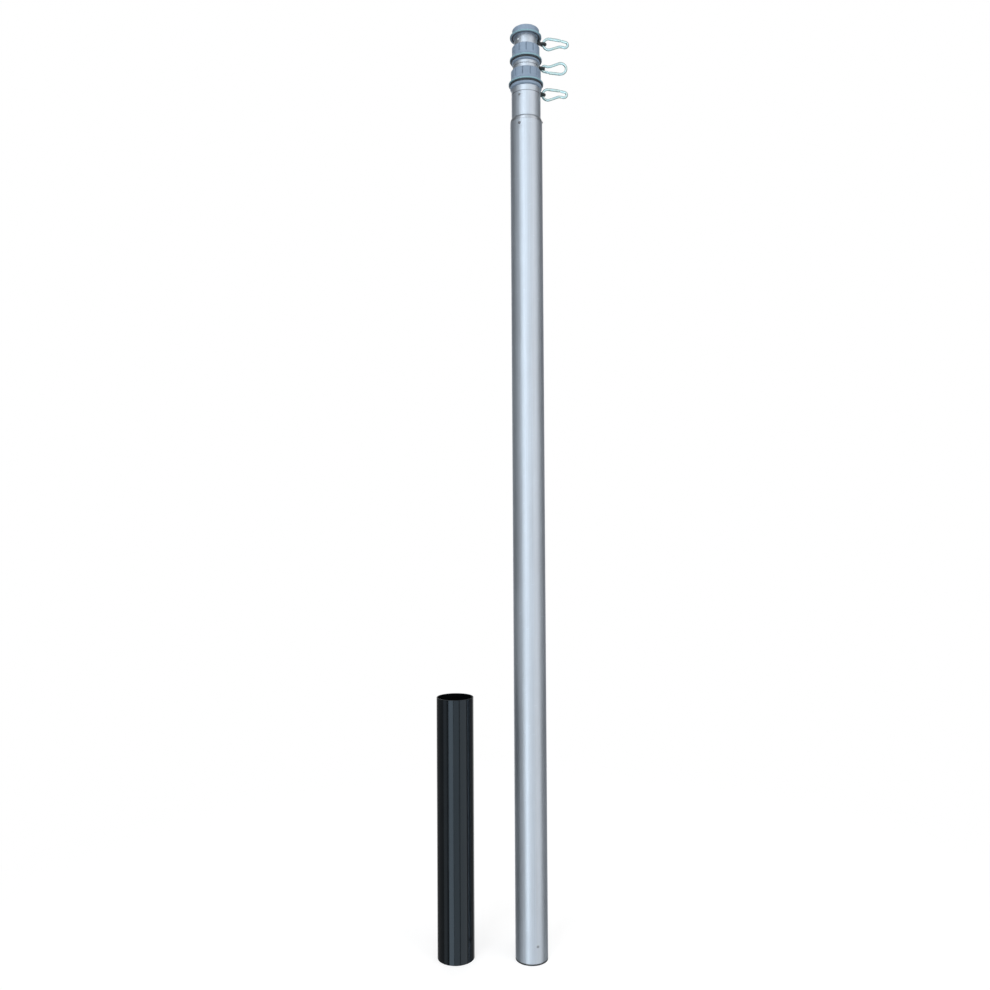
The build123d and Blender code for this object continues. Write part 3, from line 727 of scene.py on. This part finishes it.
def add_floor():
    """Pale floor that reads white, keeps the soft shadow by the object and runs out into the background."""
    mesh = bpy.data.meshes.new("floor")
    build = bmesh.new()
    bmesh.ops.create_grid(build, x_segments=8, y_segments=8, size=FLOOR_REACH)
    build.to_mesh(mesh)
    build.free()
    floor = bpy.data.objects.new("floor", mesh)
    bpy.context.scene.collection.objects.link(floor)
    material = bpy.data.materials.new("pale floor")
    material.use_nodes = True
    tree = material.node_tree
    tree.nodes.clear()
    seen, glossy = ray_kinds(tree)
    away = add_node(tree, "ShaderNodeVectorMath", {"operation": "LENGTH"}, i0=object_place(tree)).outputs["Value"]
    far = times(tree, ramp(tree, away, *FLOOR_FADE), seen)
    diffuse = add_node(tree, "ShaderNodeBsdfDiffuse", Color=(0.5, 0.5, 0.5, 1))
    lift = times(tree, seen, FLOOR_LIFT)
    near = add_node(tree, "ShaderNodeAddShader", i0=diffuse.outputs[0], i1=add_node(
        tree, "ShaderNodeEmission", Color=(1, 1, 1, 1), Strength=lift).outputs[0])
    white = add_node(tree, "ShaderNodeEmission", Color=(1, 1, 1, 1), Strength=1.0)
    both = add_node(tree, "ShaderNodeMixShader", i0=far, i1=near.outputs[0], i2=white.outputs[0])
    polish = add_node(tree, "ShaderNodeBsdfGlossy", Color=(1, 1, 1, 1), Roughness=0.08)
    both = add_node(tree, "ShaderNodeMixShader", i0=glossy, i1=both.outputs[0], i2=polish.outputs[0])
    output = tree.nodes.new("ShaderNodeOutputMaterial")
    tree.links.new(both.outputs[0], output.inputs["Surface"])
    mesh.materials.append(material)


class FLAGPOLE_OT_stage(bpy.types.Operator):
    """Sets the floor, the soft lights and the camera"""

    bl_idname = "flagpole.stage"
    bl_label = "Stage"

    def execute(self, context):
        context.scene.view_settings.view_transform = "Standard"
        add_world()
        add_floor()
        for softbox in SOFTBOXES:
            add_softbox(*softbox)
        add_camera(context.scene.flagpole_stage)
        return {"FINISHED"}


class FLAGPOLE_OT_tubes(bpy.types.Operator):
    """Finishes the four drawn tubes and the bush in the main tube's mouth"""

    bl_idname = "flagpole.tubes"
    bl_label = "Tubes"

    def execute(self, context):
        look = context.scene.flagpole_finish
        for tube in TUBES:
            marks = drilled_places(RIVETS_OF_TUBE[tube]) if tube in RIVETS_OF_TUBE else ()
            dress([tube], metal_finish(tube + "_satin", look.aluminium, look.tube_roughness, lines=0.05,
                                       cloud=0.035, scuffs=0.5, radius=widest(tube), marks=marks))
        dress(["main_guide_bush"], metal_finish("bright_bush", look.bush, roughness=0.34, lines=0.04,
                                                cloud=0.02, scuffs=0.3))
        return {"FINISHED"}


class FLAGPOLE_OT_nuts_and_cap(bpy.types.Operator):
    """Finishes the grey lock nuts, collars and top cap"""

    bl_idname = "flagpole.nuts_and_cap"
    bl_label = "Nuts and cap"

    def execute(self, context):
        look = context.scene.flagpole_finish
        grey = {"colour": look.plastic, "worn": paler(look.plastic, 1.5),
                "roughness": 0.46, "grain": 1500, "flow": 0.05}
        dress(COLLARS, plastic_finish("collar_plastic", wear=0.6, dust_amount=0.12, **grey))
        for nut in LOCK_NUTS:
            radii = (widest(nut, GRIP_STARTS), widest(nut))
            dress([nut], plastic_finish(nut + "_plastic", wear=0.5, dust_amount=0.10, radii=radii, **grey))
        # The cap has no grooves, so its grip radius is 0
        radii = (0.0, widest("top_cap"))
        dress(["top_cap"], plastic_finish("cap_plastic", wear=0.5, dust_amount=0.10, radii=radii, **grey))
        return {"FINISHED"}


class FLAGPOLE_OT_rings_and_plugs(bpy.types.Operator):
    """Finishes the black flag rings, foot plug and foot guides"""

    bl_idname = "flagpole.rings_and_plugs"
    bl_label = "Rings and plugs"

    def execute(self, context):
        look = context.scene.flagpole_finish
        black = plastic_finish("black_plastic", look.ring_plastic, paler(look.ring_plastic, 3), roughness=0.42,
                               grain=1800, flow=0.1, wear=0.5, dust_amount=0.1)
        dress(FLAG_RINGS + FOOT_GUIDES + ("foot_plug",), black)
        return {"FINISHED"}


class FLAGPOLE_OT_snap_hooks(bpy.types.Operator):
    """Finishes the three snap hooks"""

    bl_idname = "flagpole.snap_hooks"
    bl_label = "Snap hooks"

    def execute(self, context):
        look = context.scene.flagpole_finish
        plate = plate_finish("zinc_plate", look.zinc, roughness=0.13, passivation=0.5)
        dress([hook + part for hook in HOOKS for part in HOOK_PARTS], plate)
        return {"FINISHED"}


class FLAGPOLE_OT_fasteners(bpy.types.Operator):
    """Finishes the rivets and the screws"""

    bl_idname = "flagpole.fasteners"
    bl_label = "Fasteners"

    def execute(self, context):
        look = context.scene.flagpole_finish
        dark = plate_finish("dark_rivet", look.rivet, roughness=0.42, passivation=0.2)
        bright = plate_finish("bright_screw", SCREW_COLOUR, roughness=0.2, passivation=0.3)
        fit_heads("main_bush_rivets", "main_pole", dark, height=2.2 * MM, recessed=False)
        fit_heads("tube_2_collar_rivets", "second_section", dark, height=1.2 * MM, recessed=False)
        fit_heads("main_bush_screw", "main_pole", dark, height=2.4 * MM, recessed=True)
        fit_heads("top_cap_screws", "fourth_section", bright, height=1.2 * MM, recessed=True)
        satin = metal_finish("flush_rivet", [FOOT_RIVET_SHADE * part for part in look.aluminium],
                             roughness=0.5, lines=0.02, cloud=0.05, scuffs=0.3)
        dress(["foot_rivets"], satin)
        return {"FINISHED"}


class FLAGPOLE_OT_ground_sleeve(bpy.types.Operator):
    """Finishes the black ground sleeve"""

    bl_idname = "flagpole.ground_sleeve"
    bl_label = "Ground sleeve"

    def execute(self, context):
        look = context.scene.flagpole_finish
        dress(["ground_sleeve"], sleeve_finish("gloss_black", look.sleeve))
        return {"FINISHED"}


class FLAGPOLE_PT_panel(bpy.types.Panel):
    """Lists the flagpole's operators and finishes"""

    bl_idname = "FLAGPOLE_PT_panel"
    bl_label = "Flagpole"
    bl_space_type = "VIEW_3D"
    bl_region_type = "UI"
    bl_category = "Flagpole"

    def draw(self, context):
        for operator in OPERATORS:
            self.layout.operator(operator.bl_idname)
        for group in (context.scene.flagpole_finish, context.scene.flagpole_stage):
            for name in group.bl_rna.properties.keys():
                if name not in ("rna_type", "name"):
                    self.layout.prop(group, name)


OPERATORS = (
    FLAGPOLE_OT_tubes,
    FLAGPOLE_OT_nuts_and_cap,
    FLAGPOLE_OT_rings_and_plugs,
    FLAGPOLE_OT_snap_hooks,
    FLAGPOLE_OT_fasteners,
    FLAGPOLE_OT_ground_sleeve,
    FLAGPOLE_OT_stage,
)
CLASSES = (FlagpoleFinish, FlagpoleStage) + OPERATORS + (FLAGPOLE_PT_panel,)


def register():
    for each in CLASSES:
        bpy.utils.register_class(each)
    bpy.types.Scene.flagpole_finish = bpy.props.PointerProperty(type=FlagpoleFinish)
    bpy.types.Scene.flagpole_stage = bpy.props.PointerProperty(type=FlagpoleStage)


def unregister():
    del bpy.types.Scene.flagpole_stage
    del bpy.types.Scene.flagpole_finish
    for each in reversed(CLASSES):
        bpy.utils.unregister_class(each)


def main():
    register()
    for operator in OPERATORS:
        group, name = operator.bl_idname.split(".")
        getattr(getattr(bpy.ops, group), name)()


if __name__ == "__main__":
    main()
